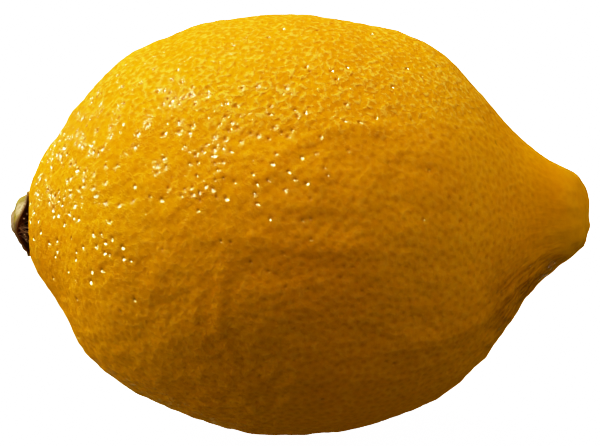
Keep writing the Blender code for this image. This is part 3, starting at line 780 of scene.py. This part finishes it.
def build_button():
    rng = np.random.default_rng(SEED + 1)
    centre_z = AXIS_Z + axis_rise(SEAT_X)
    theta = np.arange(COLUMNS) * 2 * math.pi / COLUMNS
    rows, place = catmull(button_stations(theta))
    r, h = rows[..., 0], rows[..., 1]
    th = np.broadcast_to(theta, r.shape)

    # radial wrinkles on the lobes, lumps and grain everywhere
    run = np.stack((np.cos(th) * 3.4, np.sin(th) * 3.4, r * 0.30), -1).reshape(-1, 3)
    wrinkle = noise_at(run, 0.75, (1.0, 4.0, 2.0)).reshape(r.shape)
    flat = np.stack((-h, -r * np.sin(th), r * np.cos(th)), -1).reshape(-1, 3)
    lumps = noise_at(flat, 1.7, (6.0, 2.0, 8.0)).reshape(r.shape)
    grain = noise_at(flat, 0.42, (3.0, 3.0, 5.0)).reshape(r.shape)
    where = place[:, None]
    top = smooth(0.0, 1.0, where) * (1.0 - smooth(9.5, 10.5, where))
    under = smooth(10.0, 11.5, where)
    lobes = smooth(5.0, 7.0, where) * (1.0 - smooth(9.6, 10.6, where))
    scar = 1.0 - smooth(4.4, 5.8, where)
    h = h + 0.16 * lobes * wrinkle + 0.13 * (top + under * (1 - smooth(15.0, 16.5, where))) * lumps
    h = h + (0.05 + 0.05 * scar) * grain
    r = r + 0.10 * smooth(8.0, 10.0, where) * (1 - smooth(14.0, 15.5, where)) * wrinkle * 1.4
    r[0] = r[-1] = 0.0
    h[0], h[-1] = h[0].mean(), h[-1].mean()

    p = np.stack((SEAT_X - h, -r * np.sin(th), centre_z + r * np.cos(th)), -1)
    count = len(place)
    points = [p[0, 0]] + [q for k in range(1, count - 1) for q in p[k]] + [p[-1, 0]]

    def at(k, j):
        return 1 + (k - 1) * COLUMNS + j % COLUMNS

    faces = [(0, at(1, j), at(1, j + 1)) for j in range(COLUMNS)]
    for k in range(1, count - 2):
        faces += [(at(k, j), at(k + 1, j), at(k + 1, j + 1), at(k, j + 1)) for j in range(COLUMNS)]
    last = len(points) - 1
    faces += [(at(count - 2, j), last, at(count - 2, j + 1)) for j in range(COLUMNS)]

    def spread(values):
        return [values[0, 0]] + [v for k in range(1, count - 1) for v in values[k]] + [values[-1, 0]]

    full = np.broadcast_to
    marks = {
        "scar": spread(full(scar, r.shape)),
        "under": spread(full(under, r.shape)),
        "edge": spread(full(smooth(8.6, 9.8, where) * (1 - smooth(10.6, 11.6, where)), r.shape)),
        "crown": spread(np.cos(th - math.radians(-12.0)) * full(1 - under, r.shape)),
        "cream": spread(
            np.exp(-((np.degrees(th) - 50.0) / 20.0) ** 2) * full(smooth(6.2, 7.2, where) * (1 - under), r.shape)
        ),
        "rust": spread(
            np.exp(-((np.degrees(th) - 120.0) / 17.0) ** 2) * full(smooth(5.4, 6.2, where) * (1 - under), r.shape)
        ),
        "wrinkle": spread(wrinkle),
        "fibre": spread(0.0 * r),
    }

    # dry fibres between the lifted lobes and the seat, and crumbs caught there
    def add(more, sides, tone):
        nonlocal points, faces
        base = len(points)
        points += more
        faces += [tuple(base + i for i in f) for f in sides]
        for name in marks:
            marks[name] = list(marks[name]) + [tone if name == "fibre" else 0.0] * len(more)

    for k in range(26):
        a = math.radians(rng.uniform(96.0, 126.0) if k % 2 else rng.uniform(58.0, 155.0))
        rise = float(round_the_rim(np.array([a]), [(58, 0.5), (75, 1.0), (106, 1.5), (129, 0.9), (141, 0.45), (155, 0.1), (250, 0.1)])[0])
        r0, r1 = rng.uniform(2.3, 3.7), rng.uniform(3.3, 4.55)
        b = a + rng.uniform(-0.22, 0.22)
        u = np.linspace(0.0, 1.0, 9)[:, None]
        start = np.array([SEAT_X - rise * rng.uniform(0.6, 0.95), -r0 * math.sin(a), centre_z + r0 * math.cos(a)])
        end = np.array([SEAT_X + rng.uniform(0.05, 0.55), -r1 * math.sin(b), centre_z + r1 * math.cos(b)])
        bow = rng.uniform(-0.35, 0.35, 3)
        path = start * (1 - u) + end * u + bow * (u * (1 - u) * 2.0)
        thick = rng.uniform(0.035, 0.110) * (1.0 - 0.6 * u[:, 0])
        add(*strand(path, thick), rng.uniform(0.35, 0.85) if k % 2 else rng.uniform(0.05, 0.45))
    for _ in range(5):
        a, reach, size = math.radians(rng.uniform(64.0, 140.0)), rng.uniform(4.10, 4.75), rng.uniform(0.08, 0.16)
        spot = np.array([SEAT_X - rng.uniform(-0.10, 0.35), -reach * math.sin(a), centre_z + reach * math.cos(a)])
        turn = rng.uniform(-1.0, 1.0, 3)
        path = spot + turn * size * np.linspace(-1.0, 1.0, 6)[:, None]
        thick = size * np.array([0.15, 0.75, 1.0, 0.9, 0.65, 0.12])
        add(*strand(path, thick, 7), rng.uniform(0.85, 1.0))

    mesh = bpy.data.meshes.new("button")
    mesh.from_pydata((np.array(points) * MM).tolist(), [], faces)
    mesh.shade_smooth()
    for name, values in marks.items():
        att = mesh.attributes.new(name, "FLOAT", "POINT")
        att.data.foreach_set("value", np.asarray(values, np.float32))
    ob = bpy.data.objects.new("button", mesh)
    bpy.context.scene.collection.objects.link(ob)
    ob.data.materials.append(button_material())
    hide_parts("calyx_button")
    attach(ob, "root")
    print("button:", len(points), "points,", len(faces), "faces")
    return ob


def button_material():
    m = Nodes("calyx")
    mm = m.vector("SCALE", m.coords(), scale=1000.0)
    patch = m.noise(mm, 0.9, 3.0, 0.6)
    fleck = m.noise(mm, 3.4, 3.0, 0.6)
    streak = m.ramp(m.attribute("wrinkle"), -0.45, 0.45)
    olive = m.mix(m.ramp(patch, 0.35, 0.65), (0.36, 0.265, 0.040, 1.0), (0.23, 0.175, 0.032, 1.0))
    olive = m.mix(m.math("MULTIPLY", streak, 0.45), olive, (0.46, 0.37, 0.090, 1.0))
    tan = m.mix(m.ramp(fleck, 0.35, 0.65), (0.46, 0.33, 0.170, 1.0), (0.33, 0.21, 0.085, 1.0))
    cream = m.mix(m.ramp(fleck, 0.30, 0.70), (0.66, 0.52, 0.290, 1.0), (0.48, 0.35, 0.150, 1.0))
    dry = m.mix(m.ramp(fleck, 0.35, 0.70), (0.30, 0.110, 0.022, 1.0), (0.12, 0.042, 0.012, 1.0))
    crown = m.ramp(m.math("ADD", m.attribute("crown"), m.math("SUBTRACT", patch, 0.5)), -0.55, 0.20)
    colour = m.mix(crown, m.mix(m.ramp(patch, 0.4, 0.62), (0.26, 0.16, 0.030, 1.0), (0.17, 0.10, 0.025, 1.0)), olive)
    light = m.ramp(m.math("ADD", m.attribute("cream"), m.math("MULTIPLY", m.math("SUBTRACT", fleck, 0.5), 1.1)), 0.30, 0.62)
    colour = m.mix(light, colour, cream)
    rust = m.mix(m.ramp(m.attribute("wrinkle"), -0.2, 0.5), (0.27, 0.120, 0.022, 1.0), (0.52, 0.33, 0.120, 1.0))
    colour = m.mix(m.ramp(m.attribute("rust"), 0.25, 0.7), colour, rust)
    colour = m.mix(m.math("MULTIPLY", m.ramp(m.attribute("edge"), 0.3, 0.8), m.ramp(fleck, 0.36, 0.52)), colour, tan)
    colour = m.mix(m.ramp(m.attribute("scar"), 0.25, 0.75), colour, tan)
    colour = m.mix(m.ramp(m.attribute("under"), 0.25, 0.85), colour, dry)
    threads = m.mix(m.attribute("fibre"), (0.36, 0.14, 0.030, 1.0), (0.86, 0.56, 0.280, 1.0))
    colour = m.mix(m.ramp(m.attribute("fibre"), 0.0, 0.1), colour, threads)
    m.put(m.shader.inputs["Base Color"], colour)
    m.shader.inputs["Roughness"].default_value = 0.72
    m.shader.inputs["Specular IOR Level"].default_value = 0.0
    relief = m.math("ADD", m.math("MULTIPLY", patch, 0.05), m.math("MULTIPLY", fleck, 0.045))
    relief = m.math("ADD", relief, m.math("MULTIPLY", m.noise(mm, 9.0, 2.0, 0.6), 0.012))
    m.put(m.shader.inputs["Normal"], m.bump(relief, 0.001))
    return m.material


# ================================================================ stage
WHITE = 4.0            # scene brightness that shows as full white


def film_response(x):
    """A camera's response: some contrast, then a soft shoulder up to white."""
    y = x**1.25
    return y / (1.0 + y**2.3) ** (1.0 / 2.3)


def stage_material(name, colour, rough, glow=0.0):
    m = Nodes(name)
    m.shader.inputs["Base Color"].default_value = (*colour, 1.0)
    m.shader.inputs["Roughness"].default_value = rough
    m.shader.inputs["Emission Color"].default_value = (1.0, 1.0, 1.0, 1.0)
    m.shader.inputs["Emission Strength"].default_value = glow
    return m.material


def build_floor():
    bm = bmesh.new()
    bmesh.ops.create_grid(bm, x_segments=4, y_segments=4, size=6.0)
    mesh = bpy.data.meshes.new("floor")
    bm.to_mesh(mesh)
    bm.free()
    floor = bpy.data.objects.new("floor", mesh)
    bpy.context.scene.collection.objects.link(floor)
    mesh.materials.append(stage_material("floor", (0.9, 0.9, 0.9), 0.9, 0.8 * WHITE))
    floor.visible_diffuse = False
    floor.visible_glossy = False
    return floor


AIM = Vector((0.0, 0.0, 31.0 * MM))


def area_light(name, direction, distance, size, watts, diffuse=True, gloss=True, colour=(1.0, 1.0, 1.0), tall=1.0):
    """A round or oval lamp that faces the fruit; it can light it, be mirrored in it, or both."""
    data = bpy.data.lights.new(name, "AREA")
    data.shape = "ELLIPSE"
    data.size, data.size_y = size, size * tall
    data.energy = watts
    data.color = colour
    ob = bpy.data.objects.new(name, data)
    away = Vector(direction).normalized()
    ob.location = AIM + away * distance
    ob.rotation_euler = away.to_track_quat("Z", "Y").to_euler()
    bpy.context.scene.collection.objects.link(ob)
    ob.visible_camera = False
    ob.visible_diffuse = diffuse
    ob.visible_glossy = gloss
    return ob


def build_lights():
    # broad soft lamps that light the peel
    area_light("key", (-0.64, 0.0, 0.77), 0.9, 0.6, 7.7, gloss=False)
    area_light("top", (0.18, 0.18, 0.97), 0.9, 0.6, 2.95, gloss=False)
    area_light("right", (0.45, -0.45, 0.77), 0.9, 0.6, 3.88, gloss=False)
    area_light("left", (-0.88, -0.23, 0.42), 0.9, 0.6, 2.1, gloss=False)
    area_light("side", (-1.0, 0.0, 0.0), 0.9, 0.6, 0.9, gloss=False)
    area_light("back", (-0.45, 0.45, 0.77), 0.9, 0.6, 3.6, gloss=False)
    area_light("low", (0.80, -0.44, -0.40), 0.9, 0.6, 2.45, gloss=False)
    area_light("low_left", (-0.84, -0.50, -0.21), 0.9, 0.6, 3.00, gloss=False)
    area_light("below", (-0.10, -0.05, -1.0), 0.9, 0.6, 0.15, gloss=False)
    # and the ones that it glitters in
    area_light("glint_key", (-0.66, -0.10, 0.75), 0.9, 0.31, 300.0, diffuse=False, colour=(1.0, 0.98, 0.52), tall=1.7)
    area_light("glint_side", (-0.85, 0.46, 0.26), 0.9, 0.34, 75.0, diffuse=False, colour=(1.0, 0.98, 0.52), tall=1.7)
    area_light("glint_low", (-0.22, 0.87, -0.46), 0.9, 0.30, 0.30, diffuse=False, colour=(1.0, 0.80, 0.30))
    area_light("glint_back", (-0.46, 0.42, 0.76), 0.9, 0.30, 55.0, diffuse=False, colour=(1.0, 0.98, 0.60), tall=1.7)
    area_light("glint_neck", (0.59, 0.51, -0.62), 0.9, 0.14, 0.6, diffuse=False)


def build_world():
    world = bpy.data.worlds.new("studio")
    world.use_nodes = True
    nt = world.node_tree
    nt.nodes.clear()
    out = nt.nodes.new("ShaderNodeOutputWorld")
    seen, lit = nt.nodes.new("ShaderNodeBackground"), nt.nodes.new("ShaderNodeBackground")
    seen.inputs["Color"].default_value = (1.0, 1.0, 1.0, 1.0)
    seen.inputs["Strength"].default_value = 1.05 * WHITE
    lit.inputs["Color"].default_value = (1.0, 0.97, 0.94, 1.0)
    lit.inputs["Strength"].default_value = 0.141
    mirrored = nt.nodes.new("ShaderNodeBackground")
    mirrored.inputs["Color"].default_value = (1.0, 0.85, 0.55, 1.0)
    mirrored.inputs["Strength"].default_value = 0.015
    path = nt.nodes.new("ShaderNodeLightPath")
    mix, pick = nt.nodes.new("ShaderNodeMixShader"), nt.nodes.new("ShaderNodeMixShader")
    nt.links.new(path.outputs["Is Glossy Ray"], pick.inputs[0])
    nt.links.new(lit.outputs[0], pick.inputs[1])
    nt.links.new(mirrored.outputs[0], pick.inputs[2])
    nt.links.new(path.outputs["Is Camera Ray"], mix.inputs[0])
    nt.links.new(pick.outputs[0], mix.inputs[1])
    nt.links.new(seen.outputs[0], mix.inputs[2])
    nt.links.new(mix.outputs[0], out.inputs["Surface"])
    bpy.context.scene.world = world


# ================================================================ camera
SCALE = 6.592          # picture pixels per millimetre at the fruit
DISTANCE = 0.62        # camera to the fruit's middle, metres
ELEVATION = 8.0


def build_camera():
    data = bpy.data.cameras.new("camera")
    data.sensor_width = 36.0
    data.lens = 36.0 * DISTANCE / (600.0 / SCALE * MM)
    cam = bpy.data.objects.new("camera", data)
    e = math.radians(ELEVATION)
    back = Vector((0.0, -math.cos(e), math.sin(e)))
    up = Vector((0.0, math.sin(e), math.cos(e)))
    # the fruit's axis lies 1.3 px below the picture's middle line
    aim = Vector((0.0, 0.0, AXIS_Z * MM)) + up * ((224.3 - 223.0) / SCALE * MM)
    cam.location = aim + back * DISTANCE
    cam.rotation_euler = back.to_track_quat("Z", "Y").to_euler()
    data.clip_start, data.clip_end = 0.01, 50.0
    bpy.context.scene.collection.objects.link(cam)
    bpy.context.scene.camera = cam


def set_view():
    view = bpy.context.scene.view_settings
    view.view_transform = "Standard"
    view.look = "None"
    view.use_curve_mapping = True
    mapping = view.curve_mapping
    mapping.extend = "HORIZONTAL"
    mapping.white_level = (WHITE, WHITE, WHITE)
    curve = mapping.curves[3]
    top = film_response(WHITE)
    places = [0.0, 0.01, 0.03, 0.06, 0.10, 0.15, 0.20, 0.26, 0.33, 0.42, 0.55, 0.75, 1.0]
    curve.points[0].location = (0.0, 0.0)
    curve.points[1].location = (1.0, 1.0)
    for u in places[1:-1]:
        curve.points.new(u, film_response(u * WHITE) / top)
    mapping.update()


# ================================================================ make it
peel = build_peel()
peel.data.materials.append(peel_material())
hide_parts("fruit")
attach(peel, "root")

build_button()
build_floor()
build_lights()
build_world()
build_camera()
set_view()
